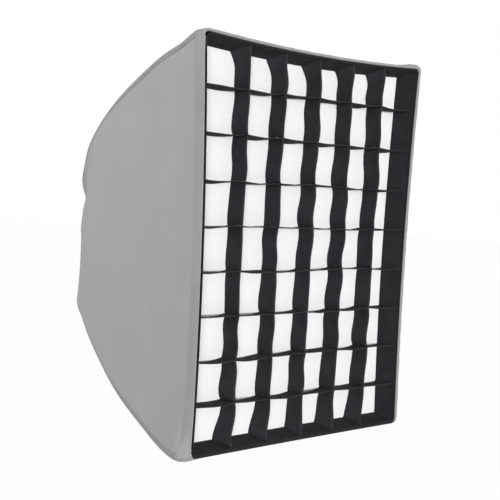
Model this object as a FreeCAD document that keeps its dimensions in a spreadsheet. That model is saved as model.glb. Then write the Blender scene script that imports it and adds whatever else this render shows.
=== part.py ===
"""Rectangular softbox with an egg-crate grid, on a turning speedring with a bayonet insert.

Frame: millimetres, +Z up. The origin is on the optical axis, on the face of the insert that
sits against the lamp head. The lamp head is on the +Y side and the light leaves towards -Y.
"""

import FreeCAD, Part
import math
import os

from FreeCAD import Placement, Rotation, Vector

PARTS_FOLDER = "parts"

SIZES = (
    # Front opening and depth of the fabric box
    ("front_width", 600, "outside width over the front hems"),
    ("front_height", 800, "outside height over the front hems"),
    ("box_depth", 775, "from the lamp head to the front hems"),
    ("fabric_sag", 8, "how far the middle of each front hem is pulled inwards"),
    ("fabric_thickness", 1.5, "shell cloth with its silver lining"),
    ("seam_gap", 0.4, "room between neighbouring pieces of cloth"),
    ("sewn_gap", 0.1, "room between cloths that are sewn on each other"),
    # Front edge: rolled hem, loop tape inside it, hook tape on the grid
    ("hem_width", 5.5, "rolled hem, measured across"),
    ("hem_depth", 26, "rolled hem, measured along the optical axis"),
    ("tape_thickness", 1.2, "hook or loop tape"),
    ("tape_width", 20, "hook or loop tape, along the optical axis"),
    ("tape_setback", 3, "front edge of the tapes behind the front of the hem"),
    ("cloth_gap", 0.4, "room between the loop tape and the hook tape"),
    # Egg-crate grid
    ("grid_depth", 42, "depth of the strips, front to back"),
    ("grid_setback", 1, "front edge of the grid behind the front of the hem"),
    ("border_flare", 13, "how much the border leans inwards over its depth"),
    ("border_thickness", 1.6, "border cloth of the grid"),
    ("strip_thickness", 1.6, "crossing strips of the grid"),
    ("slot_clearance", 0.3, "room round each strip in the slot that it crosses"),
    ("columns", 6, "cells across"),
    ("rows", 9, "cells down"),
    ("edge_column", 109, "from the side of the box to the first upright strip"),
    ("edge_row", 96, "from the top of the box to the first level strip"),
    # Diffusers
    ("diffuser_thickness", 1, "white cloth"),
    ("diffuser_margin", 0.7, "room between the front diffuser and the hems that it passes"),
    ("baffle_setback", 300, "inner baffle behind the front of the hem"),
    ("baffle_width", 300, "inner baffle"),
    ("baffle_height", 400, "inner baffle"),
    ("strap_width", 15, "elastic straps of the baffle"),
    ("strap_thickness", 1, "elastic straps of the baffle"),
    ("strap_lap", 30, "length of strap that lies on the baffle"),
    ("strap_room", 0.8, "between the end of a strap and its rod"),
    ("snap_diameter", 14, "press studs on the straps"),
    ("snap_height", 3, "press studs on the straps"),
    # Spring rods and their ends
    ("rod_diameter", 5, "spring-steel rod"),
    ("rod_lean", 68, "degrees between a socket and the optical axis"),
    ("rod_pull_rear", 185, "how long the rod keeps the direction of its socket"),
    ("rod_pull_front", 190, "how long the rod keeps straight to the front"),
    ("droop", 17, "how far the middle poles of the corner lines hang down"),
    ("rod_setback", 58, "front end of the rod behind the front of the hem"),
    ("tip_diameter", 9, "rubber tip"),
    ("tip_length", 20, "rubber tip"),
    ("tip_chamfer", 2, "rubber tip, round its closed end"),
    ("tip_clearance", 0.3, "round the bent end of the rod in its tip"),
    ("pouch_diameter", 13, "sewn pouch round the tip"),
    ("pouch_length", 34, "sewn pouch round the tip"),
    ("pouch_wall", 1.6, "sewn pouch round the tip"),
    ("pouch_room", 2, "pouch inside the panels"),
    # Speedring with its rod sockets
    ("ring_diameter", 152, "speedring, outside"),
    ("ring_bore", 104, "speedring, round the insert"),
    ("ring_thickness", 18, "speedring, along the optical axis"),
    ("ring_chamfer", 2, "outer corners of the speedring"),
    ("face_gap", 0.3, "between the insert's flange and the speedring"),
    ("mouth_distance", 47, "from the lamp head to the middle of each socket's mouth"),
    ("mouth_offset", 70, "socket mouth from the optical axis, both across and up"),
    ("skin_offset", 12, "skin outside the socket mouth, both across and up"),
    ("socket_depth", 32, "rod inside the socket"),
    ("socket_diameter", 9, "pressed steel sleeve"),
    ("socket_clearance", 0.05, "round the rod in its sleeve"),
    ("lug_diameter", 13, "cast lug round the sleeve"),
    ("lug_root", 12, "lug beyond the closed end of the sleeve"),
    ("lug_setback", 4, "end of the lug behind the socket's mouth"),
    ("lock_diameter", 4, "lock screw across each socket"),
    ("lock_room", 0.05, "between the lock screw and the rod"),
    # Bayonet insert
    ("flange_diameter", 128, "insert flange"),
    ("flange_thickness", 8, "insert flange"),
    ("spigot_clearance", 0.06, "round the spigot in the speedring"),
    ("throat_diameter", 90, "clear opening for the lamp"),
    ("barrel_diameter", 98, "bayonet barrel"),
    ("barrel_length", 14, "bayonet barrel"),
    ("claw_height", 3.5, "bayonet claws, outside the barrel"),
    ("claw_thickness", 4, "bayonet claws, along the optical axis"),
    ("claw_angle", 34, "degrees of the circle that each claw covers"),
    ("claws", 3, "bayonet claws"),
    ("groove_depth", 2, "groove in the spigot for the thumb screws"),
    ("groove_room", 0.4, "groove wider than the thumb screws"),
    # Thumb screws that hold the insert and brake its turning
    ("screws", 3, "thumb screws round the speedring"),
    ("screw_start", 90, "degrees from the top of the speedring to the first thumb screw"),
    ("screw_diameter", 5, "thumb screw shank"),
    ("screw_distance", 14.5, "thumb screws from the lamp head"),
    ("screw_clearance", 0.06, "round the shank in its hole"),
    ("tip_room", 0.1, "between the shank and the bottom of the groove"),
    ("tip_taper", 1, "tapered end of the shank"),
    ("knob_diameter", 22, "thumb screw knob"),
    ("knob_height", 13, "thumb screw knob"),
    ("knob_lift", 6, "knob above the speedring when tight"),
    ("knob_bore_depth", 9, "shank inside the knob"),
    ("knob_flutes", 8, "finger flutes round the knob"),
    ("flute_diameter", 5, "finger flutes round the knob"),
    ("knob_chamfer", 1, "edges of the knob"),
    # Cuff between the speedring and the panels
    ("cuff_start", 19.5, "rear edge of the cuff from the lamp head"),
    ("cuff_room", 0.3, "cuff outside the speedring"),
    ("cuff_margin", 3, "rear of the square hood outside the cuff's band"),
)

SIDES = {"top": 0, "right": 90, "bottom": 180, "left": 270}
CORNERS = {
    "upper_right": (1, 1),
    "upper_left": (-1, 1),
    "lower_left": (-1, -1),
    "lower_right": (1, -1),
}
PANEL_STATIONS = 7
OPTICAL_AXIS = Vector(0, 1, 0)

doc = FreeCAD.newDocument("softbox")
sheet = doc.addObject("Spreadsheet::Sheet", "sizes")
nodes = []


# ---------------------------------------------------------------- sheet and small helpers

def fill_sheet():
    """Writes each driving dimension in its own row: name, value, meaning."""
    for row, (alias, value, meaning) in enumerate(SIZES, start=1):
        sheet.set(f"A{row}", alias)
        sheet.set(f"B{row}", str(value))
        sheet.set(f"C{row}", meaning)
        sheet.setAlias(f"B{row}", alias)
    doc.recompute()


def size(alias):
    """The value of a driving dimension."""
    return float(sheet.get(alias))


def bind(thing, **formulas):
    """Ties properties of a document object to cells of the sheet."""
    for prop, formula in formulas.items():
        words = formula.split()
        cells = [f"sizes.{word}" if word[0].isalpha() else word for word in words]
        thing.setExpression(prop, " ".join(cells))


def publish(thing, node):
    """Marks an object as a finished sub-part, written to a file of that name."""
    thing.Label = node
    nodes.append(thing)
    return thing


def origin_plane(body, role):
    """A plane or an axis of the body's own origin, found by its role."""
    return [item for item in body.Origin.OriginFeatures if item.Role == role][0]


def outline(sketch, points):
    """Adds a closed loop of straight lines through the points (x, y)."""
    corners = [Vector(x, y, 0) for x, y in points]
    for start, end in zip(corners, corners[1:] + corners[:1]):
        sketch.addGeometry(Part.LineSegment(start, end))


def body_sketch(body, role, name):
    """An empty sketch on one of the body's origin planes."""
    sketch = body.newObject("Sketcher::SketchObject", name)
    sketch.AttachmentSupport = [(origin_plane(body, role), "")]
    sketch.MapMode = "FlatFace"
    return sketch


def revolved_body(name, points):
    """A body turned about its Y axis from a profile of (radius, y) points."""
    body = doc.addObject("PartDesign::Body", name)
    sketch = body_sketch(body, "XY_Plane", name + "_profile")
    outline(sketch, points)
    turned = body.newObject("PartDesign::Revolution", name + "_turned")
    turned.Profile = sketch
    turned.ReferenceAxis = (origin_plane(body, "Y_Axis"), [""])
    turned.Angle = 360
    return body


def along(direction):
    """The rotation that lays a local Z axis along a direction."""
    return Rotation(Vector(0, 0, 1), direction)


def cylinder(name, radius, start, direction, length):
    """A cylinder from a start point along a direction; radius is a sheet formula."""
    rod = doc.addObject("Part::Cylinder", name)
    bind(rod, Radius=radius)
    rod.Height = length
    rod.Placement = Placement(start, along(direction))
    return rod


def joined(kind, name, shapes):
    """A Part::MultiFuse, Part::MultiCommon or Part::Compound of several objects."""
    result = doc.addObject(kind, name)
    if kind == "Part::Compound":
        result.Links = shapes
    else:
        result.Shapes = shapes
    return result


def cut(name, base, tool):
    """What is left of the base without the tool."""
    result = doc.addObject("Part::Cut", name)
    result.Base = base
    result.Tool = tool
    return result


# ---------------------------------------------------------------- curve of the box's corners

def socket_direction(across, up):
    """Unit vector out of a socket's mouth, towards that corner of the box."""
    lean = math.radians(size("rod_lean"))
    spread = math.sin(lean) / math.sqrt(2)
    return Vector(across * spread, -math.cos(lean), up * spread)


def skin_curve(up=0):
    """Bezier curve of the skin's right corner lines, from beside the socket to the hem.

    It leaves in the direction of the socket and reaches the front parallel to the optical
    axis. Between its ends it droops: up is 1 for the upper line, -1 for the lower one seen
    upside down, and 0 for the line without its droop.
    """
    offset = size("mouth_offset") + size("skin_offset")
    start = Vector(offset, -size("mouth_distance"), offset)
    end = Vector(size("front_width") / 2, -size("box_depth"), size("front_height") / 2)
    leaving = start + socket_direction(1, 1) * size("rod_pull_rear")
    arriving = end + OPTICAL_AXIS * size("rod_pull_front")
    curve = Part.BezierCurve()
    curve.setPoles([start, leaving, arriving, end])
    curve.segment(0, share_at_depth(curve, size("hem_depth") - size("box_depth")))
    first, leaving, arriving, last = curve.getPoles()
    hang = Vector(0, 0, -up * size("droop"))
    curve.setPoles([first, leaving + hang, arriving + hang, last])
    return curve


def droop_at(share):
    """How far the corner lines hang down at a share of their curve."""
    return 3 * size("droop") * share * (1 - share)


def rod_curve(across=1, up=1):
    """Centre line of the rod in one corner, from its socket's mouth to its front end.

    It is the skin's corner line, moved inwards: at the rear by the skin's offset from the
    socket, at the front so that the pouch round the tip lies against the skin.
    """
    curve = skin_curve(up)
    curve.segment(0, share_at_depth(curve, size("rod_setback") - size("box_depth")))
    rear = size("skin_offset")
    front = size("fabric_thickness") + size("pouch_room") + size("pouch_diameter") / 2
    poles = []
    for number, pole in enumerate(curve.getPoles()):
        inset = rear + (front - rear) * number / 3
        poles.append(Vector(across * (pole.x - inset), pole.y, up * (pole.z - inset)))
    moved = Part.BezierCurve()
    moved.setPoles(poles)
    return moved


def share_at_depth(curve, y):
    """The curve's parameter at a distance along the optical axis, by bisection."""
    low, high = 0.0, 1.0
    for _ in range(60):
        middle = (low + high) / 2
        if curve.value(middle).y > y:
            low = middle
        else:
            high = middle
    return (low + high) / 2


# ---------------------------------------------------------------- strips along the four sides

def side_frame(side, corner):
    """Half width, half span and sag of the skin on one side, at a point of the corner line.

    The first is from the axis out to the skin's ends, the second along the side. Both sags
    shrink with the box towards its rear.
    """
    upright = side in ("left", "right")
    out, span = (corner.x, corner.z) if upright else (corner.z, corner.x)
    sag = size("fabric_sag") * corner.x / (size("front_width") / 2)
    return out, span, sag


def skin_height(side, corner, along_side):
    """Distance of the skin from the axis, at a place along one side."""
    out, span, sag = side_frame(side, corner)
    return out - sag * (1 - (along_side / span) ** 2)


def side_reach(side, corner, inset, thickness):
    """Half length of a strip on one side that fits between its neighbours.

    Strips on the left and right run the full height; those at the top and bottom fit
    between them. inset is the strip's distance inside the skin.
    """
    out = side_frame(side, corner)[0]
    neighbour = "top" if side in ("left", "right") else "right"
    skin = skin_height(neighbour, corner, out - inset - thickness)
    if side in ("left", "right"):
        return skin - inset
    return skin - inset - thickness - size("seam_gap")


def strip_section(name, side, corner, inset, thickness, droop=0):
    """Cross-section of a strip of cloth that follows one side, as a sketch across the axis."""
    reach = side_reach(side, corner, inset, thickness)
    end = skin_height(side, corner, reach) - inset
    middle = skin_height(side, corner, 0) - inset
    section = doc.addObject("Sketcher::SketchObject", name)
    upright = Rotation(Vector(1, 0, 0), 90)
    turn = Rotation(OPTICAL_AXIS, SIDES[side])
    section.Placement = Placement(Vector(0, corner.y, -droop), turn.multiply(upright))
    outer = [Vector(-reach, end, 0), Vector(0, middle, 0), Vector(reach, end, 0)]
    inner = [point - Vector(0, thickness, 0) for point in outer]
    section.addGeometry(Part.Arc(*outer))
    section.addGeometry(Part.LineSegment(outer[2], inner[2]))
    section.addGeometry(Part.Arc(*inner[::-1]))
    section.addGeometry(Part.LineSegment(inner[0], outer[0]))
    return section


def loft(name, sections, ruled):
    """A solid through sections."""
    solid = doc.addObject("Part::Loft", name)
    solid.Sections = sections
    solid.Solid = True
    solid.Ruled = ruled
    return solid


def front_strip(node, side, start, depth, inset, thickness, lean=0):
    """A strip along one side of the front, leaning inwards by lean over its depth."""
    corner = Vector(size("front_width") / 2, 0, size("front_height") / 2)
    front = Vector(corner.x, start - size("box_depth"), corner.z)
    back = Vector(corner.x, front.y + depth, corner.z)
    sections = [
        strip_section(node + "_front", side, front, inset, thickness),
        strip_section(node + "_back", side, back, inset + lean, thickness),
    ]
    return publish(loft(node + "_loft", sections, True), node)


def loop_tape_inset():
    """The loop tape's outer face inside the skin: sewn on the hem."""
    return size("hem_width") + size("sewn_gap")


def hook_tape_inset():
    """The hook tape's outer face inside the skin: inside the loop tape."""
    return loop_tape_inset() + size("tape_thickness") + size("cloth_gap")


def border_inset():
    """The grid border's outer face inside the skin: the hook tape is sewn on it."""
    return hook_tape_inset() + size("tape_thickness") + size("sewn_gap")


# ---------------------------------------------------------------- shell

def panels():
    """Four cloth panels from the cuff to the hems, each a loft along the corner line."""
    curve = skin_curve()
    shares = [step / (PANEL_STATIONS - 1) for step in range(PANEL_STATIONS)]
    for side in SIDES:
        sections = [
            strip_section(f"panel_{side}_{number}", side, curve.value(share), 0,
                          size("fabric_thickness"), droop_at(share))
            for number, share in enumerate(shares)
        ]
        publish(loft(f"panel_{side}_loft", sections, False), f"panel_{side}")


def hems_and_tapes():
    """Rolled hem round the front, with the loop tape sewn inside it."""
    for side in SIDES:
        front_strip(f"front_hem_{side}", side, 0, size("hem_depth"), 0, size("hem_width"))
        front_strip(f"loop_tape_{side}", side, size("tape_setback"), size("tape_width"),
                    loop_tape_inset(), size("tape_thickness"))


def cuff():
    """Rear end of the box: a square hood with an elastic band round the speedring."""
    rim = size("ring_diameter") / 2 + size("cuff_room")
    wall = size("fabric_thickness")
    plate = ring_back() - size("ring_thickness")
    mouth = -size("mouth_distance")
    square = size("mouth_offset") + size("skin_offset")
    rear_square = rim + wall + size("cuff_margin")
    band = cylinder("cuff_band", "ring_diameter / 2 + cuff_room + fabric_thickness",
                    OPTICAL_AXIS * -size("cuff_start"), OPTICAL_AXIS * -1,
                    -plate - size("cuff_start"))
    bore = cylinder("cuff_bore", "ring_diameter / 2 + cuff_room", OPTICAL_AXIS, OPTICAL_AXIS * -1,
                    1 - mouth)
    hood = square_loft("cuff_hood", rear_square, plate, square, mouth)
    hollow = square_loft("cuff_hollow", rear_square - wall, plate - wall, square - wall, mouth)
    outside = joined("Part::MultiFuse", "cuff_outside", [band, hood])
    inside = joined("Part::MultiFuse", "cuff_inside", [bore, hollow])
    publish(cut("cuff_cut", outside, inside), "rear_cuff")


def square_loft(name, rear_half, rear, front_half, front):
    """A solid between two squares across the optical axis."""
    sections = []
    for label, half, y in (("_rear", rear_half, rear), ("_front", front_half, front)):
        square = doc.addObject("Sketcher::SketchObject", name + label)
        square.Placement = Placement(Vector(0, y, 0), Rotation(Vector(1, 0, 0), 90))
        outline(square, [(half * x, half * z) for x, z in ((1, 1), (-1, 1), (-1, -1), (1, -1))])
        sections.append(square)
    return loft(name, sections, True)


# ---------------------------------------------------------------- egg-crate grid

def grid_border():
    """Border cloth of the grid, leaning inwards, with the hook tape round its front edge."""
    for side in SIDES:
        front_strip(f"hook_tape_{side}", side, size("tape_setback"), size("tape_width"),
                    hook_tape_inset(), size("tape_thickness"))
        front_strip(f"grid_border_{side}", side, size("grid_setback"), size("grid_depth"),
                    border_inset(), size("border_thickness"), size("border_flare"))


def strip_places(half_size, edge_cell, cells):
    """Even places for the strips between two edge cells, counted from the axis."""
    strips = cells - 1
    first = half_size - edge_cell
    return [first - 2 * first * number / (strips - 1) for number in range(strips)]


def grid_strip(node, role, side, place, crossings, slots_in_front):
    """A crossing strip: a flat outline with a half-depth slot at each crossing.

    side is the border that the strip runs to, place its distance from the axis. Upright
    strips are drawn on YZ and level ones on XY, so that the sketch's lengthwise direction
    is across the light.
    """
    corner = Vector(size("front_width") / 2, 0, size("front_height") / 2)
    skin = skin_height(side, corner, place)
    reach = skin - border_inset() - size("border_thickness") - size("seam_gap")
    front = size("grid_setback") - size("box_depth")
    back = front + size("grid_depth")
    lean = size("border_flare")
    upright = role == "YZ_Plane"
    body = doc.addObject("PartDesign::Body", node + "_body")
    shape = body_sketch(body, role, node + "_outline")
    flat = [(front, -reach), (back, lean - reach), (back, reach - lean), (front, reach)]
    outline(shape, flat if upright else [(across, y) for y, across in flat])
    pad = body.newObject("PartDesign::Pad", node + "_pad")
    pad.Profile = shape
    pad.SideType = "Symmetric"
    bind(pad, Length="strip_thickness")

    middle = (front + back) / 2
    room = size("slot_clearance")
    half_slot = size("strip_thickness") / 2 + room
    outside = front - room if slots_in_front else back + room
    bottom = middle + room if slots_in_front else middle - room
    slot = body_sketch(body, role, node + "_slot")
    edges = [(y, crossings[-1] + half) for y, half in (
        (outside, -half_slot), (bottom, -half_slot), (bottom, half_slot), (outside, half_slot))]
    outline(slot, edges if upright else [(across, y) for y, across in edges])
    pocket = body.newObject("PartDesign::Pocket", node + "_pocket")
    pocket.Profile = slot
    pocket.Type = "ThroughAll"
    pocket.SideType = "Symmetric"
    row = body.newObject("PartDesign::LinearPattern", node + "_slots")
    row.Originals = [pocket]
    row.Direction = (origin_plane(body, "Z_Axis" if upright else "X_Axis"), [""])
    row.Length = crossings[0] - crossings[-1]
    row.Occurrences = len(crossings)
    body.Tip = row
    offset = Vector(place, 0, 0) if upright else Vector(0, 0, place)
    body.Placement = Placement(offset, Rotation())
    publish(body, node)


def grid_strips():
    """Interlocked strips: the upright ones are slotted in front, the level ones behind."""
    across = strip_places(size("front_width") / 2, size("edge_column"), int(size("columns")))
    up = strip_places(size("front_height") / 2, size("edge_row"), int(size("rows")))
    for number, place in enumerate(reversed(across), start=1):
        grid_strip(f"grid_upright_{number}", "YZ_Plane", "top", place, up, True)
    for number, place in enumerate(up, start=1):
        grid_strip(f"grid_level_{number}", "XY_Plane", "right", place, across, False)


# ---------------------------------------------------------------- diffusers

def front_diffuser():
    """White cloth across the front, right behind the grid, with four bowed edges."""
    corner = Vector(size("front_width") / 2, 0, size("front_height") / 2)
    inset = border_inset() + size("diffuser_margin")
    across = skin_height("right", corner, corner.z) - inset
    up = skin_height("top", corner, corner.x) - inset
    bow = size("fabric_sag")
    body = doc.addObject("PartDesign::Body", "front_diffuser_body")
    sketch = body_sketch(body, "XZ_Plane", "front_diffuser_outline")
    corners = [Vector(across, up, 0), Vector(-across, up, 0),
               Vector(-across, -up, 0), Vector(across, -up, 0)]
    middles = [Vector(0, up - bow, 0), Vector(bow - across, 0, 0),
               Vector(0, bow - up, 0), Vector(across - bow, 0, 0)]
    for start, middle, end in zip(corners, middles, corners[1:] + corners[:1]):
        sketch.addGeometry(Part.Arc(start, middle, end))
    pad = body.newObject("PartDesign::Pad", "front_diffuser_pad")
    pad.Profile = sketch
    bind(pad, Length="diffuser_thickness")
    rear = (size("grid_setback") + size("grid_depth") + size("cloth_gap")
            + size("diffuser_thickness") - size("box_depth"))
    body.Placement = Placement(Vector(0, rear, 0), Rotation())
    publish(body, "front_diffuser")


def baffle():
    """Inner baffle, with a strap from each corner to the rod there, held by press studs."""
    y = size("baffle_setback") - size("box_depth")
    upper, lower = [curve.value(share_at_depth(curve, y))
                    for curve in (rod_curve(1, 1), rod_curve(1, -1))]
    middle = (upper.z + lower.z) / 2
    sheet_of_cloth = doc.addObject("Part::Box", "inner_baffle_box")
    bind(sheet_of_cloth, Length="baffle_width", Width="diffuser_thickness",
         Height="baffle_height")
    sheet_of_cloth.Placement = Placement(
        Vector(-size("baffle_width") / 2, y - size("diffuser_thickness"),
               middle - size("baffle_height") / 2), Rotation())
    publish(sheet_of_cloth, "inner_baffle")

    corner = Vector(size("baffle_width") / 2, 0, size("baffle_height") / 2)
    reach = Vector(upper.x, 0, upper.z - middle) - corner
    outwards = reach * (1 / reach.Length)
    length = reach.Length - size("rod_diameter") / 2 - size("strap_room") + size("strap_lap")
    straps, studs = [], []
    for name, (across, up) in CORNERS.items():
        lay = Vector(across * outwards.x, 0, up * outwards.z)
        inner = (Vector(across * corner.x, y, middle + up * corner.z)
                 - lay * size("strap_lap"))
        strap = doc.addObject("Part::Box", "strap_" + name)
        strap.Length = length
        bind(strap, Width="strap_thickness", Height="strap_width")
        turn = Rotation(lay, OPTICAL_AXIS, lay.cross(OPTICAL_AXIS), "XYZ")
        sideways = turn.multVec(Vector(0, 0, -size("strap_width") / 2))
        strap.Placement = Placement(inner + sideways, turn)
        straps.append(strap)
        stud_place = inner + lay * (size("strap_lap") / 2)
        on_strap = stud_place + OPTICAL_AXIS * size("strap_thickness")
        studs.append(cylinder("stud_" + name, "snap_diameter / 2", on_strap, OPTICAL_AXIS,
                              size("snap_height")))
    publish(joined("Part::Compound", "baffle_straps_all", straps), "baffle_straps")
    publish(joined("Part::Compound", "baffle_studs_all", studs), "baffle_studs")


# ---------------------------------------------------------------- rods, tips and pouches

def bend(name, start, direction, end):
    """Part of a torus that leaves start in a direction and reaches end.

    The arc turns by twice the angle between that direction and the chord. Returns the solid
    and the direction at its end.
    """
    chord = end - start
    ahead = chord * (1 / chord.Length)
    sideways = direction - ahead * direction.dot(ahead)
    half_turn = math.asin(sideways.Length)
    radius = chord.Length / (2 * math.sin(half_turn))
    to_centre = sideways * (-radius * math.cos(half_turn) / sideways.Length)
    centre = start + chord * 0.5 + to_centre
    spoke = start - centre
    arc = doc.addObject("Part::Torus", name)
    arc.Radius1 = radius
    bind(arc, Radius2="rod_diameter / 2")
    arc.Angle3 = math.degrees(2 * half_turn)
    arc.Placement = Placement(centre, Rotation(spoke, Vector(), spoke.cross(direction), "ZXY"))
    return arc, ahead * (2 * direction.dot(ahead)) - direction


def meeting_point(start, leaving, end, arriving):
    """Where two tangent arcs meet that join a start and its direction to an end and its own."""
    chord = end - start
    along_chord = chord.dot(leaving + arriving)
    opening = 2 * (1 - leaving.dot(arriving))
    reach = (math.sqrt(along_chord ** 2 + opening * chord.dot(chord)) - along_chord) / opening
    return (start + end + (leaving - arriving) * reach) * 0.5


def rods():
    """Spring rods: straight in the socket, then tangent bends along the corner to the tip.

    Two bends reach halfway to the baffle's strap, two the strap and two the front, each pair
    along the curve of the corner at its end.
    """
    tips = []
    baffle_depth = size("baffle_setback") - size("box_depth")
    for name, corner in CORNERS.items():
        curve = rod_curve(*corner)
        foot, direction = socket_foot(*corner)
        pieces = [cylinder(f"rod_foot_{name}", "rod_diameter / 2", foot, direction,
                           size("socket_depth"))]
        start = curve.value(0)
        at_baffle = share_at_depth(curve, baffle_depth)
        for share in (at_baffle / 2, at_baffle, 1):
            end, arriving = curve.getD1(share)
            arriving.normalize()
            for stop in (meeting_point(start, direction, end, arriving), end):
                piece, direction = bend(f"rod_bend_{name}_{len(pieces)}", start, direction, stop)
                pieces.append(piece)
                start = stop
        publish(joined("Part::MultiFuse", f"rod_joined_{name}", pieces), f"rod_{name}")
        place = Placement(start, Rotation(OPTICAL_AXIS, direction * -1))
        tips.append(rod_tip(name, place))
        pouch(name, place)
    publish(joined("Part::Compound", "rod_tips_all", tips), "rod_tips")


def rod_tip(name, place):
    """Rubber tip: a blunt cap with a blind bore that holds the rod's end."""
    radius = size("tip_diameter") / 2
    bore = size("rod_diameter") / 2 + size("tip_clearance")
    floor = -size("tip_clearance")
    edge = size("tip_chamfer")
    tip = revolved_body(f"rod_tip_{name}", [
        (0, -radius), (radius - edge, -radius), (radius, edge - radius),
        (radius, size("tip_length") - radius), (bore, size("tip_length") - radius),
        (bore, floor), (0, floor)])
    tip.Placement = place
    return tip


def pouch(name, place):
    """Sewn pouch in the corner of the box that takes the rod's tip, open to the rear."""
    inner = size("tip_diameter") / 2 + size("cloth_gap")
    outer = size("pouch_diameter") / 2
    floor = -size("tip_diameter") / 2 - size("cloth_gap")
    body = revolved_body(f"corner_pouch_{name}_body", [
        (0, floor - size("pouch_wall")), (outer, floor - size("pouch_wall")),
        (outer, floor - size("pouch_wall") + size("pouch_length")),
        (inner, floor - size("pouch_wall") + size("pouch_length")), (inner, floor),
        (0, floor)])
    body.Placement = place
    publish(body, f"corner_pouch_{name}")


# ---------------------------------------------------------------- speedring and sockets

def ring_back():
    """The face of the speedring towards the lamp head."""
    return -size("flange_thickness") - size("face_gap")


def speedring():
    """Cast ring with a slanting lug for each rod socket, bored for sleeves and screws."""
    rear = ring_back()
    front = rear - size("ring_thickness")
    outer = size("ring_diameter") / 2
    bore = size("ring_bore") / 2
    edge = size("ring_chamfer")
    ring = revolved_body("speedring_ring", [
        (bore, rear), (outer - edge, rear), (outer, rear - edge), (outer, front + edge),
        (outer - edge, front), (bore, front)])
    lugs, holes = [ring], []
    for name, corner in CORNERS.items():
        foot, direction = socket_foot(*corner)
        length = size("socket_depth")
        root = foot - direction * size("lug_root")
        lugs.append(cylinder("lug_" + name, "lug_diameter / 2", root, direction,
                             size("lug_root") + length - size("lug_setback")))
        post = Vector(foot.x, front + edge, foot.z)
        lugs.append(cylinder("post_" + name, "lug_diameter / 2", post, OPTICAL_AXIS * -1,
                             post.y - foot.y))
        holes.append(cylinder("sleeve_hole_" + name, "socket_diameter / 2", foot, direction,
                              length))
        start, across = lock_line(*corner)
        holes.append(cylinder("lock_hole_" + name, "lock_diameter / 2 + lock_room", start,
                              across, size("lug_diameter")))
    for number, angle in enumerate(screw_angles(), start=1):
        outwards = Rotation(OPTICAL_AXIS, angle).multVec(Vector(0, 0, 1))
        start = OPTICAL_AXIS * -size("screw_distance") + outwards * (bore - 1)
        holes.append(cylinder(f"screw_hole_{number}", "screw_diameter / 2 + screw_clearance",
                              start, outwards, outer - bore + 2))
    casting = joined("Part::MultiFuse", "speedring_casting", lugs)
    drilled = joined("Part::MultiFuse", "speedring_holes", holes)
    publish(cut("speedring_cut", casting, drilled), "speedring")


def socket_foot(across, up):
    """Closed end of a socket and the direction out of its mouth."""
    mouth = Vector(across * size("mouth_offset"), -size("mouth_distance"),
                   up * size("mouth_offset"))
    direction = socket_direction(across, up)
    return mouth - direction * size("socket_depth"), direction


def lock_line(across, up):
    """Start and direction of a lock screw: across the socket, halfway, from the front."""
    foot, direction = socket_foot(across, up)
    radial = Vector(across, 0, up) * (1 / math.sqrt(2))
    sideways = direction.cross(OPTICAL_AXIS.cross(radial))
    if sideways.y > 0:
        sideways = sideways * -1
    sideways = sideways * (1 / sideways.Length)
    middle = foot + direction * (size("socket_depth") / 2)
    return middle, sideways


def sockets():
    """Pressed steel sleeves that take the rods, and the lock screws across them."""
    screws = []
    for name, corner in CORNERS.items():
        foot, direction = socket_foot(*corner)
        start, across = lock_line(*corner)
        sleeve = cylinder("sleeve_" + name, "socket_diameter / 2", foot, direction,
                          size("socket_depth"))
        rod_hole = cylinder("rod_hole_" + name, "rod_diameter / 2 + socket_clearance", foot,
                            direction, size("socket_depth"))
        lock_hole = cylinder("sleeve_lock_hole_" + name, "lock_diameter / 2 + lock_room",
                             start, across, size("socket_diameter"))
        bores = joined("Part::MultiFuse", "sleeve_bores_" + name, [rod_hole, lock_hole])
        publish(cut("sleeve_cut_" + name, sleeve, bores), f"rod_socket_{name}")
        seat = size("rod_diameter") / 2 + size("lock_room")
        screws.append(cylinder("lock_" + name, "lock_diameter / 2", start + across * seat,
                               across, size("lug_diameter") / 2 - seat))
    publish(joined("Part::Compound", "socket_locks_all", screws), "socket_lock_screws")


# ---------------------------------------------------------------- bayonet insert

def insert():
    """Flange with a spigot in the speedring, and a barrel with claws for the lamp head."""
    rear = -size("flange_thickness")
    front = rear - size("face_gap") - size("ring_thickness")
    throat = size("throat_diameter") / 2
    barrel = size("barrel_diameter") / 2
    spigot = size("ring_bore") / 2 - size("spigot_clearance")
    floor = spigot - size("groove_depth")
    half_groove = (size("screw_diameter") + size("groove_room")) / 2
    groove = -size("screw_distance")
    flange = size("flange_diameter") / 2
    body = revolved_body("bayonet_insert_body", [
        (throat, front), (spigot, front), (spigot, groove - half_groove),
        (floor, groove - half_groove), (floor, groove + half_groove),
        (spigot, groove + half_groove), (spigot, rear), (flange, rear), (flange, 0),
        (barrel, 0), (barrel, size("barrel_length")), (throat, size("barrel_length"))])
    doc.recompute()
    profile = body_sketch(body, "XY_Plane", "claw_profile")
    claw_back = size("barrel_length") - size("claw_thickness")
    outline(profile, [
        (barrel - 1, claw_back), (barrel + size("claw_height"), claw_back),
        (barrel + size("claw_height"), size("barrel_length")),
        (barrel - 1, size("barrel_length"))])
    claw = body.newObject("PartDesign::Revolution", "claw")
    claw.Profile = profile
    claw.ReferenceAxis = (origin_plane(body, "Y_Axis"), [""])
    bind(claw, Angle="claw_angle")
    doc.recompute()
    ring = body.newObject("PartDesign::PolarPattern", "claw_ring")
    ring.Originals = [claw]
    ring.Axis = (origin_plane(body, "Y_Axis"), [""])
    ring.Angle = 360
    bind(ring, Occurrences="claws")
    body.Tip = ring
    publish(body, "bayonet_insert")


# ---------------------------------------------------------------- thumb screws

def screw_angles():
    """Places of the thumb screws round the axis, in degrees from the top."""
    count = int(size("screws"))
    return [size("screw_start") + 360 * number / count for number in range(count)]


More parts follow.
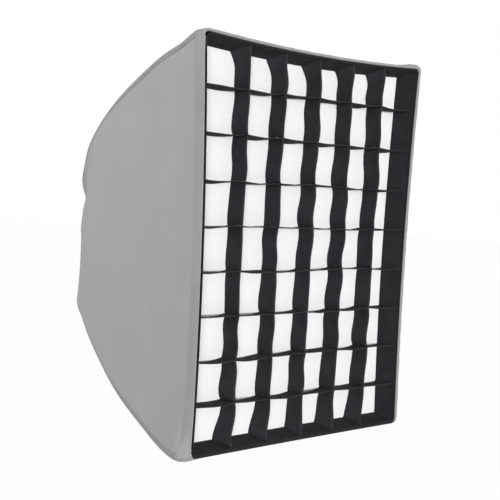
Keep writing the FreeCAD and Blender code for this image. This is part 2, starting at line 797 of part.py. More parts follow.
def thumb_screws():
    """Shanks in the speedring, each with a fluted knob on its outer end."""
    floor = size("ring_bore") / 2 - size("spigot_clearance") - size("groove_depth")
    inner = floor + size("tip_room")
    knob_base = size("ring_diameter") / 2 + size("knob_lift")
    outer = knob_base + size("knob_bore_depth")
    radius = size("screw_diameter") / 2
    taper = size("tip_taper")
    upright = Rotation(Vector(1, 0, 0), 90)
    centre = OPTICAL_AXIS * -size("screw_distance")
    for number, angle in enumerate(screw_angles(), start=1):
        turn = Rotation(OPTICAL_AXIS, angle).multiply(upright)
        shank = revolved_body(f"screw_shank_{number}_body", [
            (0, inner), (radius - taper, inner), (radius, inner + taper), (radius, outer),
            (0, outer)])
        shank.Placement = Placement(centre, turn)
        publish(shank, f"thumb_screw_shank_{number}")
        knob(f"thumb_screw_knob_{number}",
             Placement(centre + turn.multVec(OPTICAL_AXIS * knob_base), turn))


def knob(node, place):
    """Fluted knob, turned about its own Y axis, with a blind bore for the shank."""
    radius = size("knob_diameter") / 2
    top = size("knob_height")
    edge = size("knob_chamfer")
    bore = size("screw_diameter") / 2 + size("screw_clearance")
    floor = size("knob_bore_depth") + size("screw_clearance")
    body = revolved_body(node + "_body", [
        (bore, 0), (radius - edge, 0), (radius, edge), (radius, top - edge),
        (radius - edge, top), (0, top), (0, floor), (bore, floor)])
    doc.recompute()
    flute = body_sketch(body, "XZ_Plane", node + "_flute")
    flute.addGeometry(Part.Circle(Vector(radius, 0, 0), Vector(0, 0, 1),
                                  size("flute_diameter") / 2))
    groove = body.newObject("PartDesign::Pocket", node + "_groove")
    groove.Profile = flute
    groove.Type = "ThroughAll"
    groove.SideType = "Symmetric"
    flutes = body.newObject("PartDesign::PolarPattern", node + "_flutes")
    flutes.Originals = [groove]
    flutes.Axis = (origin_plane(body, "Y_Axis"), [""])
    flutes.Angle = 360
    bind(flutes, Occurrences="knob_flutes")
    body.Tip = flutes
    body.Placement = place
    publish(body, node)


# ---------------------------------------------------------------- checks and files

def check():
    """Stops if any object failed or any sub-part has no valid shape."""
    doc.recompute()
    for thing in doc.Objects:
        if {"Invalid", "Error"} & set(thing.State):
            raise RuntimeError(f"{thing.Name} failed: {thing.State}")
    for node in nodes:
        if node.Shape.isNull() or not node.Shape.isValid() or node.Shape.Volume <= 0:
            raise RuntimeError(f"{node.Label} has no valid shape")


def write_parts():
    """Writes each sub-part to a file named after its label."""
    os.makedirs(PARTS_FOLDER, exist_ok=True)
    for node in nodes:
        node.Shape.exportStep(os.path.join(PARTS_FOLDER, node.Label + ".step"))


fill_sheet()
insert()
speedring()
sockets()
thumb_screws()
cuff()
rods()
panels()
hems_and_tapes()
grid_border()
grid_strips()
front_diffuser()
baffle()
check()
write_parts()
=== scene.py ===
import functools
import math

import bpy
import numpy as np
from mathutils import Matrix, Vector


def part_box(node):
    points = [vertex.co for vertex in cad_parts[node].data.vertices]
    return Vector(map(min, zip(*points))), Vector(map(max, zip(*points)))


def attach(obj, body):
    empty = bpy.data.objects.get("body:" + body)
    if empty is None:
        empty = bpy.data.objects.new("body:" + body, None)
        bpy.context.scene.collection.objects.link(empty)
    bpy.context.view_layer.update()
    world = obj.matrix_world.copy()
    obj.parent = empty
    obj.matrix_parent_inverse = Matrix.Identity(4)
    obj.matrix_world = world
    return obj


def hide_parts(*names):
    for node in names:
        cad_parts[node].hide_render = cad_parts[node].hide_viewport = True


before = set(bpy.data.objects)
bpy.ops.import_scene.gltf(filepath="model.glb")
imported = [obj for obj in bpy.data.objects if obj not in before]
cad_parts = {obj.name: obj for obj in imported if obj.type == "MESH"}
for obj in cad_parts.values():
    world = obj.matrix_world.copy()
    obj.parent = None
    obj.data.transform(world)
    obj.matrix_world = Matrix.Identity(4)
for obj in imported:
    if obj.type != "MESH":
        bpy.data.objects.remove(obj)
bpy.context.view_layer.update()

MM = 0.001


def mm(*lengths):
    """The lengths in metres of some lengths in millimetres."""
    return tuple(length * MM for length in lengths)


# Camera: where it stands, how it is turned, and how its picture is framed.
CAMERA_PLACE = Vector((-1.477, -2.232, 0.105))
CAMERA_TURN = {"Z": -0.6987, "X": -0.1413, "Y": -0.0446}
CAMERA_LENS = 72.0
CAMERA_SHIFT = (0.0728, 0.1717)

# Sides and corners round the optical axis, as (x, z): side k runs from corner k to the next, up
# or down its axis as its sign says.
SIDES = {"top": (0, 1), "left": (-1, 0), "bottom": (0, -1), "right": (1, 0)}
SIDE_SIGNS = {"top": -1, "left": -1, "bottom": 1, "right": 1}
CORNERS = ((1, 1), (-1, 1), (-1, -1), (1, -1))


def each_side(top, left, bottom, right):
    """A length in metres for each side, from millimetres."""
    return dict(zip(SIDES, mm(top, left, bottom, right)))


# Corner lines of the shell, which the spring rods hold: a rod's lean at its socket, how far its
# line keeps its direction at the cuff and at the front, and how far it hangs between them.
SOCKET_LEAN = math.radians(68)
PULL_REAR, PULL_FRONT = mm(185, 190)
DROOP = 17 * MM
HEM_DEPTH = 26 * MM
LINE_ROWS = 150
# Fillet along the corner lines: its radius at the cuff, how much it gains, and its limit.
RIDGE_RADIUS = mm(4, 20, 16)
RIDGE_INSET = 0.84 * MM
# Half of the binding's width, as a share of the fillet's radius.
BINDING_SHARE = 1.1
# Over this depth the lines are drawn from the frame's corners to the rim's own.
FRONT_BLEND = 110 * MM
# How far the rods' tips push the cloth out at each corner, where they do it behind the front,
# and how far the push reaches to the front, to the rear and across.
POCKET_PULL = mm(8, 0, 10.5, 4)
POCKET_PLACE = 45 * MM
PUSH_FRONT, PUSH_REAR, PUSH_WIDTH, PUSH_START = mm(60, 105, 55, 16)
# Where else each corner line stands off its even curve: height in millimetres, place and width
# of bells along it, from 0 at the cuff to 1 at the front.
LINE_BELLS = (((1.5, 0.06, 0.05), (-2, 0.7, 0.2)),
              ((-1.3, 0.05, 0.045), (-4, 0.18, 0.08), (-2, 0.73, 0.15), (-2.8, 0.9, 0.06)),
              ((-4.8, 0.06, 0.05), (6, 0.17, 0.05), (-4, 0.43, 0.17)),
              ((6, 0.165, 0.05), (-3, 0.45, 0.17)))
# Where they start near the cuff, and where behind the front's fold and over what depth.
LINE_START, FOLD_CLEAR = 0.05, mm(5, 30)

# Panels: the cloth, its columns of points, how far each side bows in near the cuff, and the
# share of the line over which that turns into the rim's bow.
CLOTH = 1.2 * MM
PANEL_COLUMNS = 131
BELLY = each_side(12, 2, 10, 8)
BELLY_START, BOW_BLEND = 0.07, 0.62
# Tuck under the upper corner line near the cuff: its depth on each side, its place and width as
# shares of half the panel, its distance from the line, and where along it and how it fades.
TUCK = each_side(3, 15, 3, 10)
TUCK_PLACE, TUCK_WIDTH = 0.72, 0.28
TUCK_CLEAR = 22 * MM
TUCK_FADE = (0.1, 0.35)
# Creases at a rod's tip: height, fading, and how far from the tip and from the line they start.
CREASE, CREASE_FADE, CREASE_START, CREASE_CLEAR = mm(0.9, 70, 25, 14)
# Groove beside the binding: width, depth, and where along the line and how it starts.
GROOVE_WIDTH, GROOVE_DEPTH = mm(2.5, 1.2)
GROOVE_FORMS = (0.5, 0.2)

# Front rim: how far the hem's outer face reaches beyond the frame's at the first and the last
# corner of each side, and how far the middle of the side bows inwards.
EDGE = {"top": mm(0.5, 3, 10), "left": mm(7, -1.5, 9), "bottom": mm(5.5, 0.5, 1),
        "right": mm(11, 10, 10)}
RIM_RADIUS = mm(9, 15, 13, 15)
SMALLEST_RADIUS = 4 * MM
CORNER_POINTS, SIDE_POINTS = 9, 80
HEM_THICK = each_side(5.5, 1.2, 1.5, 7.5)
HEM_OVERLAP = 0.4 * MM
HEM_DEPTHS = mm(-0.4, 27)
# Puckers of the hem: their depth on each side, and the share of a side over which they fade.
PUCKER = each_side(0.7, 0.2, 0.4, 2.2)
PUCKER_FADE = 0.08
# Rows of stitches and tapes, by their depth behind the front and inside the hem.
STITCH_ROWS = mm(22, 54)
TAPE_DEPTHS = mm(3, 23)
LOOP_TAPE = mm(0.1, 1.3)
HOOK_TAPE = mm(1.7, 2.9)

# Grid: the border cloth's place inside the hem and how far each side leans in, and the strips.
BORDER_INSET = 3.4 * MM
BORDER_LEAN = each_side(13, 13, 13, 18.5)
STRIP_THICKNESS = 1.5 * MM
HALF_SLOT = 0.95 * MM
CELL_POINTS = 16


# ------------ boxes of the frame

def hull(*starts):
    """Lowest and highest corner round all the frame's nodes whose names start so."""
    boxes = np.array([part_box(node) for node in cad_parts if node.startswith(starts)])
    return boxes[:, 0].min(axis=0), boxes[:, 1].max(axis=0)


(_, FRONT, _), (HALF_WIDTH, _, HALF_HEIGHT) = hull("front_hem_")
(_, MOUTH, _), (REAR_HALF, CUFF_REAR, _) = hull("rear_cuff")


# ------------ materials

def to_linear(code):
    """Linear colour with alpha 1 of an sRGB hex code: each channel by the sRGB curve."""
    parts = [int(code[i:i + 2], 16) / 255 for i in (1, 3, 5)]
    return (*(c / 12.92 if c <= 0.04045 else ((c + 0.055) / 1.055) ** 2.4 for c in parts), 1)


def add_node(tree, kind, stops=(), **settings):
    """Adds a node. A setting is a property, or an input's number, node or (node, output). An
    input is named with _ for each blank, or by _ and its place. stops are a ramp's positions
    and hex colours.
    """
    made = tree.nodes.new("ShaderNode" + kind)
    for key, value in settings.items():
        if hasattr(made, key):
            setattr(made, key, value)
            continue
        socket = made.inputs[int(key[1:]) if key[0] == "_" else key.replace("_", " ")]
        source, output = value if isinstance(value, tuple) and len(value) == 2 else (value, 0)
        if isinstance(source, bpy.types.Node):
            tree.links.new(source.outputs[output], socket)
        else:
            socket.default_value = value
    for place, (position, code) in enumerate(stops):
        made.color_ramp.elements[place].position = position
        made.color_ramp.elements[place].color = to_linear(code)
    return made


def empty_nodes(owner):
    """Empties the node tree of a material or a world, and gives add_node for that tree."""
    owner.use_nodes = True
    owner.node_tree.nodes.clear()
    return functools.partial(add_node, owner.node_tree)


def stitch_mask(add):
    """1 on the stitches round the box: dashes in rows at depths behind the front."""
    spacing, half_width, dash_level = 4 * MM, 0.6 * MM, -0.4
    axes = add("SeparateXYZ", _0=(add("TexCoord"), "Object"))
    rows = [add("Math", operation="COMPARE", _0=(axes, "Y"), _1=FRONT + depth, _2=half_width)
            for depth in STITCH_ROWS]
    either = add("Math", operation="MAXIMUM", _0=rows[0], _1=rows[1])
    along = add("Math", operation="ADD", _0=(axes, "X"), _1=(axes, "Z"))
    turn = add("Math", operation="MULTIPLY", _0=along, _1=math.tau / spacing)
    wave = add("Math", operation="SINE", _0=turn)
    dash = add("Math", operation="GREATER_THAN", _0=wave, _1=dash_level)
    return add("Math", operation="MULTIPLY", _0=either, _1=dash)


# Spacing of the wave texture's bands at scale 1, and the weave's share in a cloth's tone.
WAVE_SPACING = 0.314
WEAVE_TONE = 0.12
# How much darker stitches are, and how much deeper they lie than the threads.
STITCH_TONE, STITCH_SINK = -1.2, -2.0


def woven(name, dark, light, thread, bump, roughness, sheen=0.0, specular=0.2, cloudy=60,
          translucent=0.0, stitched=False):
    """Plain-weave cloth: crossing threads from the UV map in metres, with a soft cloudy tone.

    thread is their spacing and cloudy the size of its clouds, in millimetres. The bump is the
    product of two waves across each other.
    """
    material = bpy.data.materials.new(name)
    add = empty_nodes(material)
    uv = add("UVMap", uv_map="cloth")
    warp, weft = [add("TexWave", bands_direction=direction, Vector=uv, Detail=1.0,
                      Scale=WAVE_SPACING / (thread * MM), Distortion=0.6) for direction in "XY"]
    weave = add("Math", operation="MULTIPLY", _0=(warp, "Fac"), _1=(weft, "Fac"))
    cloud = add("TexNoise", Scale=1 / (cloudy * MM), Detail=3.0, Roughness=0.55,
                Vector=(add("TexCoord"), "Object"))
    tone = add("Math", operation="MULTIPLY_ADD", _0=weave, _1=WEAVE_TONE, _2=(cloud, "Fac"))
    height = weave
    if stitched:
        mask = stitch_mask(add)
        tone = add("Math", operation="MULTIPLY_ADD", _0=mask, _1=STITCH_TONE, _2=tone)
        height = add("Math", operation="MULTIPLY_ADD", _0=mask, _1=STITCH_SINK, _2=weave)
    ramp = add("ValToRGB", Fac=tone, stops=((0.25, dark), (0.8, light)))
    relief = add("Bump", Strength=bump, Distance=thread * MM * 0.25, Height=height)
    shader = add("BsdfPrincipled", Roughness=roughness, Sheen_Weight=sheen, Normal=relief,
                 Sheen_Roughness=0.5, Specular_IOR_Level=specular, Base_Color=(ramp, "Color"))
    if translucent:
        through = add("BsdfTranslucent", Color=(ramp, "Color"), Normal=relief)
        shader = add("MixShader", _0=translucent, _1=shader, _2=through)
    add("OutputMaterial", Surface=shader)
    return material


def grained(name, base, spot, grain, bump, roughness, metallic=1.0, stretch=(1, 1, 1)):
    """A hard finish from noise in object space: grain is its size in millimetres.

    stretch draws the grain out along an axis, as brushing or turning does.
    """
    material = bpy.data.materials.new(name)
    add = empty_nodes(material)
    scaled = add("Mapping", Scale=stretch, Vector=(add("TexCoord"), "Object"))
    noise = add("TexNoise", Scale=1 / (grain * MM), Detail=3.0, Roughness=0.6, Vector=scaled)
    ramp = add("ValToRGB", Fac=(noise, "Fac"), stops=((0.35, base), (0.75, spot)))
    rough = add("MapRange", To_Min=roughness - 0.07, To_Max=roughness + 0.1,
                Value=(noise, "Fac"))
    relief = add("Bump", Strength=bump, Distance=grain * MM * 0.3, Height=(noise, "Fac"))
    shader = add("BsdfPrincipled", Metallic=metallic, Base_Color=(ramp, "Color"),
                 Roughness=rough, Normal=relief)
    add("OutputMaterial", Surface=shader)
    return material


# The nylons' threads, in truth half a millimetre or finer, are drawn coarser so that they show.
NYLON = {"thread": 1.4, "bump": 0.3, "roughness": 0.8, "sheen": 0.05}
TAFFETA = {"thread": 1.1, "bump": 0.4, "roughness": 0.9, "specular": 0.08, "cloudy": 30}
WEBBING = {"thread": 1.6, "bump": 0.9, "roughness": 0.85}

# Oxford nylon with a dull polyurethane back: matt mid grey with a faint cloudy tone.
shell_nylon = woven("shell_nylon", "#A3A3A3", "#A9A9A9", **NYLON, cloudy=90, stitched=True)
# The same nylon, folded double over the rim, and drawn a little darker.
hem_nylon = woven("hem_nylon", "#9B9B9B", "#A3A3A3", **NYLON, stitched=True)
# A darker copy of it on the hem's faces that look to the front: painted shade.
hem_front_painted_shade = woven("hem_front_painted_shade", "#929292", "#9A9A9A", **NYLON)
# Grosgrain binding over the corner seams, ribbed across; its darker tone is painted shade.
binding_painted_shade = woven("binding_painted_shade", "#949494", "#9E9E9E", thread=1.8, bump=0.8,
                     roughness=0.85, sheen=0.05)
# Aluminised lining: bright, crinkled and half mirror-like.
silver_lining = grained("silver_lining", "#C9CACC", "#E4E5E6", grain=6, bump=0.6,
                        roughness=0.32, metallic=0.85)
# Dull black nylon taffeta for the strips, matt, lighter than the border's: painted light.
strip_nylon_painted_light = woven("strip_nylon_painted_light", "#313134", "#3B3B3F", **TAFFETA)
# Its border cloth is doubled and stiffer, and has the taffeta's plain tone.
border_nylon = woven("border_nylon", "#29292C", "#333336", **TAFFETA)
# Hook tape: rows of stiff black hooks, coarse and dull.
hook_tape = woven("hook_tape", "#151516", "#222224", thread=1.8, bump=1.0, roughness=0.9,
                  specular=0.1, cloudy=20)
# Loop tape: brushed black pile, softer than the hooks.
loop_tape = woven("loop_tape", "#1B1B1D", "#2C2C2F", thread=0.9, bump=0.8, roughness=0.95,
                  sheen=0.3, specular=0.1, cloudy=12)
# White diffusing nylon: bright, dead matt, and it lets a little light through.
white_nylon = woven("white_nylon", "#F6F6F6", "#FBFBFB", thread=1.2, bump=0.15,
                    roughness=0.95, specular=0.05, cloudy=80, translucent=0.08)
# Knitted white elastic webbing: ribbed along its length.
white_elastic = woven("white_elastic", "#DCDCDA", "#EFEFED", **WEBBING, sheen=0.2, cloudy=15)
# Doubled black webbing, sewn hard: deep dull ribs.
pouch_webbing = woven("pouch_webbing", "#1E1E20", "#2E2E31", **WEBBING, sheen=0.1, cloudy=12)
# Elastic grey cloth: a little darker and coarser than the panels.
cuff_elastic = woven("cuff_elastic", "#8A8A8A", "#9A9A9A", thread=1.6, bump=0.6,
                     roughness=0.85, sheen=0.1, cloudy=20)
# Die-cast aluminium, tumbled: grey, grainy and satin.
cast_aluminium = grained("cast_aluminium", "#A9ABAD", "#BFC1C3", grain=0.8, bump=0.35,
                         roughness=0.42)
# Turned aluminium: fine rings round the axis.
turned_aluminium = grained("turned_aluminium", "#A4A5A7", "#BBBCBE", grain=0.7, bump=0.2,
                           roughness=0.36, stretch=(0.2, 3, 0.2))
# Drawn spring steel: smooth, slightly dark, lengthwise draw marks.
spring_steel = grained("spring_steel", "#8E9093", "#A6A8AB", grain=0.8, bump=0.1,
                       roughness=0.28, stretch=(1, 0.1, 1))
# Zinc-plated pressed steel: bright with a cloudy grey bloom.
plated_steel = grained("plated_steel", "#A4A6A8", "#BEC0C3", grain=2.5, bump=0.1, roughness=0.3)
# Nickel-plated press studs: polished.
nickel = grained("nickel", "#C4C2BC", "#D8D6D0", grain=1.5, bump=0.05, roughness=0.15)
# Moulded black rubber: dull, faintly dusty.
moulded_rubber = grained("moulded_rubber", "#141414", "#222222", grain=1.2, bump=0.3,
                         roughness=0.8, metallic=0.0)
# Moulded black ABS with spark-eroded grain.
moulded_abs = grained("moulded_abs", "#101011", "#1C1C1E", grain=0.6, bump=0.4,
                      roughness=0.5, metallic=0.0)


# ------------ surfaces

def smooth_step(value, start=0, length=1):
    """0 up to the start, 1 after the length, and 3v^2 - 2v^3 between."""
    v = np.clip((value - start) / length, 0, 1)
    return v * v * (3 - 2 * v)


def bell(value):
    """exp(-v^2): 1 at 0, fading to both sides."""
    return np.exp(-value ** 2)


def between(ends, share):
    """The value at a share of the way from one end to the other."""
    return ends[0] + (ends[1] - ends[0]) * share


def run_lengths(points, axis=0):
    """Length from the start to each point along an axis of an array of points."""
    steps = np.linalg.norm(np.diff(points, axis=axis), axis=-1)
    return np.insert(np.cumsum(steps, axis=axis), 0, 0, axis=axis)


def superellipse(exponent, count):
    """Two coordinates from -1 to 1 round a superellipse: cos and sin, each raised in size."""
    turn = np.linspace(0, math.tau, count, endpoint=False)
    round_trip = np.stack([np.cos(turn), np.sin(turn)])
    return np.sign(round_trip) * np.abs(round_trip) ** exponent


def new_object(name, data):
    """An object of the scene that holds a mesh, a lamp or a camera."""
    made = bpy.data.objects.new(name, data)
    bpy.context.scene.collection.objects.link(made)
    return made


def grid_piece(name, points, materials, away=None, wrap=(False, False), keep=None):
    """A mesh through rows and columns of points, with a UV map of lengths along both.

    Faces point away from a place, or outwards where the grid closes on itself. wrap closes it
    along its rows and its columns, and keep is a mask over its faces.
    """
    rows, columns = points.shape[:2]
    index = np.arange(rows * columns).reshape(rows, columns)
    if wrap[0]:
        index = np.vstack([index, index[:1]])
    if wrap[1]:
        index = np.hstack([index, index[:, :1]])
    faces = np.stack([index[:-1, :-1], index[:-1, 1:], index[1:, 1:], index[1:, :-1]], axis=-1)
    faces = (faces if keep is None else faces[keep]).reshape(-1, 4)
    spots = points.reshape(-1, 3)
    corners = spots[faces]
    normals = np.cross(corners[:, 2] - corners[:, 0], corners[:, 3] - corners[:, 1])
    middle = points.mean(axis=(0, 1)) if away is None else np.array(away)
    if (normals * (corners.mean(axis=1) - middle)).sum() < 0:
        faces = faces[:, ::-1]
    flat = np.stack([run_lengths(points, 1), run_lengths(points, 0)], axis=-1).reshape(-1, 2)
    mesh = bpy.data.meshes.new(name)
    mesh.from_pydata(spots.tolist(), [], faces.tolist())
    mesh.polygons.foreach_set("use_smooth", np.ones(len(faces), bool))
    layer = mesh.uv_layers.new(name="cloth")
    layer.data.foreach_set("uv", flat[faces.ravel()].ravel().astype(np.float32))
    for material in materials:
        mesh.materials.append(material)
    return new_object(name, mesh)


def thicken(piece, thickness, lined=False, offset=-1):
    """The sheet with its thickness inwards, and the second material inside if it is lined.

    An offset of 0 gives half of it to each side.
    """
    wall = piece.modifiers.new("thickness", "SOLIDIFY")
    wall.thickness = thickness
    wall.offset = offset
    if lined:
        wall.material_offset = 1
    return piece


def capped(points):
    """Rows of points with the first and last row drawn together to close the ends."""
    first = np.repeat(points[:1].mean(axis=1, keepdims=True), points.shape[1], axis=1)
    last = np.repeat(points[-1:].mean(axis=1, keepdims=True), points.shape[1], axis=1)
    return np.concatenate([first, points, last])


def settle(piece, body, slot, *nodes):
    """The piece rides on a body and stands for CAD nodes. Its slot is not used."""
    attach(piece, body)
    if nodes:
        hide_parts(*nodes)
    return piece


# ------------ outline of the front

def side_reach(side, share, inset):
    """Distance from the axis to the rim at a share of a side: a straight line less a bow."""
    first, last, bow = EDGE[side]
    half = HALF_WIDTH if SIDES[side][0] else HALF_HEIGHT
    return half + first + (last - first) * share - bow * (1 - (2 * share - 1) ** 2) - inset


def side_share(side, place):
    """Share of a side from its first corner, at a place from -1 to 1 along x or z."""
    return (1 + SIDE_SIGNS[side] * place) / 2


def rim_corner(number, insets):
    """Where the two sides at a corner meet, as (x, z)."""
    sides = list(SIDES)
    return sum(side_reach(side, share, insets[side]) * np.array(SIDES[side])
               for side, share in ((sides[number - 1], 1), (sides[number], 0)))


def pocket_push(number, behind):
    """How far a rod's tip pushes corner k outwards, at a depth: a bell, 0 at the front."""
    past = behind - POCKET_PLACE
    return (POCKET_PULL[number] * bell(past / np.where(past > 0, PUSH_REAR, PUSH_FRONT))
            * smooth_step(behind / PUSH_START))


def pucker_wave(place):
    """Waves between 0 and 1 along the hem: long ones whose spacing drifts, and short ones.

    The place and the wavelengths are in millimetres.
    """
    long_wave, drift, short_wave = 56, 190, 23
    wave = np.sin(place * math.tau / long_wave + 1.7 * np.sin(place * math.tau / drift))
    return 0.5 + 0.35 * wave + 0.15 * np.sin(place * math.tau / short_wave)


def rim_loop(insets, pushed=0.0, puckers=0.0):
    """Loop of (x, z) round the front at an inset for each side, with bowed sides.

    Each corner is a quadratic Bezier curve between points at the rim's radius from it.
    pushed is the depth at which the rods' pushes move the loop out near its corners, and
    puckers is the share of the hem's puckers, which are waves along each side.
    """
    radii = [max(radius - 0.5 * np.mean(list(insets.values())), SMALLEST_RADIUS)
             for radius in RIM_RADIUS]
    step = np.linspace(0, 1, CORNER_POINTS)[:, None]
    loop = []
    for number, side in enumerate(SIDES):
        here, there = rim_corner(number, insets), rim_corner((number + 1) % 4, insets)
        back = rim_corner(number - 1, insets)
        length = np.linalg.norm(there - here)
        leaving = here + (there - here) * radii[number] / length
        arriving = here + (back - here) * radii[number] / np.linalg.norm(back - here)
        loop.append((1 - step) ** 2 * arriving + 2 * step * (1 - step) * here
                    + step ** 2 * leaving)
        first, last = radii[number] / length, 1 - radii[(number + 1) % 4] / length
        share = np.linspace(first, last, SIDE_POINTS + 2)[1:-1, None]
        run = (share - first) / (last - first)
        bow = EDGE[side][2] * (1 - (2 * run - 1) ** 2)
        bow = bow - puckers * PUCKER[side] * pucker_wave(share * length / MM) * smooth_step(
            run / PUCKER_FADE) * smooth_step((1 - run) / PUCKER_FADE)
        loop.append(here + (there - here) * share - bow * np.array(SIDES[side]))
    loop = np.concatenate(loop)
    for number, corner in enumerate(CORNERS):
        near = np.abs(loop - rim_corner(number, insets)).max(axis=1)
        loop = loop + (pocket_push(number, pushed) * bell(near / PUSH_WIDTH)[:, None]
                       * np.array(corner))
    return loop


def rim_band(rows, outer=None):
    """Rows of points: one loop round the front for each pair of insets and a depth.

    outer gives for each row how much it belongs to the hem's outer face, which the rods
    push and which puckers.
    """
    made = []
    for number, (insets, depth) in enumerate(rows):
        share = 0.0 if outer is None else outer[number]
        loop = rim_loop(insets, max(depth, 0.0) * share, share)
        made.append(np.insert(loop, 1, FRONT + depth, axis=1))
    return np.stack(made)


def rounded_section(power, count=24):
    """A closed section as shares from 0 to 1 of its width and depth: a superellipse."""
    return (1 + superellipse(2 / power, count)) / 2


# ------------ shell

def corner_line():
    """Upper right corner line of the shell from the front to the cuff, and its droop.

    A cubic Bezier curve, evenly spaced: it leaves the cuff in the direction of the rod's
    socket and reaches the front parallel to the axis. The droop is 3 s (1 - s) of its value,
    with s from the cuff to the back of the hem.
    """
    spread = math.sin(SOCKET_LEAN) / math.sqrt(2)
    start = np.array([REAR_HALF, MOUTH, REAR_HALF])
    end = np.array([HALF_WIDTH, FRONT, HALF_HEIGHT])
    leaving = start + np.array([spread, -math.cos(SOCKET_LEAN), spread]) * PULL_REAR
    arriving = end + np.array([0, PULL_FRONT, 0])
    share = np.linspace(1, 0, 6 * LINE_ROWS)[:, None]
    rest = 1 - share
    curve = (rest ** 3 * start + 3 * rest ** 2 * share * leaving
             + 3 * rest * share ** 2 * arriving + share ** 3 * end)
    length = run_lengths(curve)
    even = np.linspace(0, length[-1], LINE_ROWS)
    line = np.stack([np.interp(even, length, curve[:, k]) for k in range(3)], axis=1)
    at_hem = np.interp(FRONT + HEM_DEPTH, curve[:, 1], share[:, 0])
    part = np.clip(np.interp(even, length, share[:, 0]) / at_hem, 0, 1)
    return line, 3 * DROOP * part * (1 - part)


LINE, LINE_DROOP = corner_line()
BEHIND = LINE[:, 1] - FRONT
TRAVEL = np.linspace(1, 0, LINE_ROWS)
RIDGE = np.minimum(RIDGE_RADIUS[0] + RIDGE_RADIUS[1] * TRAVEL ** 1.2, RIDGE_RADIUS[2])
UNDER_HEM = {side: HEM_OVERLAP for side in SIDES}


def ridge_line(number):
    """Corner line k of the shell, drawn towards the rim's own corner near the front."""
    across, up = CORNERS[number]
    towards = rim_corner(number, UNDER_HEM) - np.array([across * HALF_WIDTH, up * HALF_HEIGHT])
    blend = smooth_step(1 - BEHIND / FRONT_BLEND)
    return np.stack([across * LINE[:, 0] + towards[0] * blend, LINE[:, 1],
                     up * LINE[:, 2] - LINE_DROOP + towards[1] * blend], axis=1)


def corner_push(number):
    """How far corner line k stands outside its even curve: at the rod's tip, and in bells.

    What the fillet takes off the line, 1 - cos 45 degrees of its radius, is added back. It
    starts behind the front's fold and near the cuff.
    """
    bells = [height * MM * bell((TRAVEL - place) / width)
             for height, place, width in LINE_BELLS[number]]
    stand = sum(bells) + (1 - math.cos(math.pi / 4)) * RIDGE - RIDGE_INSET
    return pocket_push(number, BEHIND) + stand * smooth_step(TRAVEL / LINE_START) * smooth_step(
        BEHIND, *FOLD_CLEAR)


def edge_spacing(count):
    """Places from -1 to 1, closer together towards both ends: sine of even angles, blended."""
    even = np.linspace(-1, 1, count)
    return 0.3 * even + 0.7 * np.sin(even * math.pi / 2)


def corner_wrinkles(behind, from_corner, phase):
    """Creases that fan out from a rod's tip: waves round it, fading with distance."""
    away = np.hypot(behind - POCKET_PLACE, from_corner)
    turn = np.arctan2(from_corner, behind - POCKET_PLACE)
    wave = np.sin(7 * turn + phase) + 0.5 * np.sin(12 * turn + 2 * phase)
    return (CREASE * wave * np.exp(-away / CREASE_FADE) * smooth_step(away / CREASE_START)
            * smooth_step(from_corner / CREASE_CLEAR))


def panel_points(number, across):
    """One side of the shell: straight across between two corner lines, then shaped.

    across runs from -1 to 1 in each row. The panel bows inwards: by the rim's parabola in
    front, and by a low parabola and a tuck under its upper corner line near the cuff. The
    rods push it out at its corners, where it also creases. Along the lines it turns round a
    fillet, with a shallow groove beside the binding.
    """
    side = list(SIDES)[number]
    first, last = ridge_line(number), ridge_line((number + 1) % 4)
    share = (1 + across[..., None]) / 2
    points = first[:, None] * (1 - share) + last[:, None] * share
    run = last - first
    half = np.linalg.norm(run, axis=1)[:, None] / 2
    run = run[:, None] / (2 * half[..., None])
    outward = np.array([SIDES[side][0], 0, SIDES[side][1]])
    behind, travel = BEHIND[:, None], TRAVEL[:, None]
    from_edge = half * (1 - np.abs(across))

    rear = smooth_step((1 - travel) / BOW_BLEND)
    upper_end = 1 if side == "right" else -1
    tuck = TUCK[side] * bell((across - TUCK_PLACE * upper_end) / TUCK_WIDTH) * smooth_step(
        from_edge / TUCK_CLEAR) * (1 - smooth_step(travel, *TUCK_FADE))
    bow = (EDGE[side][2] * (1 - across ** 2) * (1 - rear)
           + (BELLY[side] * (1 - across ** 2) * rear + tuck) * smooth_step(travel / BELLY_START))
    lay = -bow
    slide = np.zeros_like(lay)
    for end, corner in ((-1, number), (1, (number + 1) % 4)):
        near = half * (1 - end * across)
        push = corner_push(corner)[:, None] * bell(near / PUSH_WIDTH)
        lay = lay + push + corner_wrinkles(behind, near, number + 2 * end)
        slide = slide + end * push
    radius = RIDGE[:, None]
    turn = (1 - np.clip(from_edge / radius, 0, 1)) * math.pi / 4
    groove = bell((from_edge - BINDING_SHARE * radius) / GROOVE_WIDTH) * smooth_step(
        travel, *GROOVE_FORMS)
    lay = lay - radius * (1 - np.cos(turn)) - GROOVE_DEPTH * groove
    slide = slide - np.sign(across) * np.where(
        from_edge < radius, radius * (1 - np.sin(turn)) - from_edge, 0)
    return points + outward * lay[..., None] + run * slide[..., None]


# A place inside the box, which the shell's faces look away from.
INSIDE = (0, -0.4, 0)
# Width and length of the cloth that each panel is cut from, and the area of its cut.
PANEL_CUTS = ((0.60, 0.90, 0.35), (0.80, 0.90, 0.45)) * 2
places = edge_spacing(PANEL_COLUMNS) + np.zeros((LINE_ROWS, 1))
for order, (side_name, (wide, long, cut_area)) in enumerate(zip(SIDES, PANEL_CUTS)):
    shell = grid_piece(f"shell_{side_name}", panel_points(order, places),
                       [shell_nylon, silver_lining], INSIDE)
    settle(thicken(shell, CLOTH, lined=True), "softbox", "shell_cloth", f"panel_{side_name}")


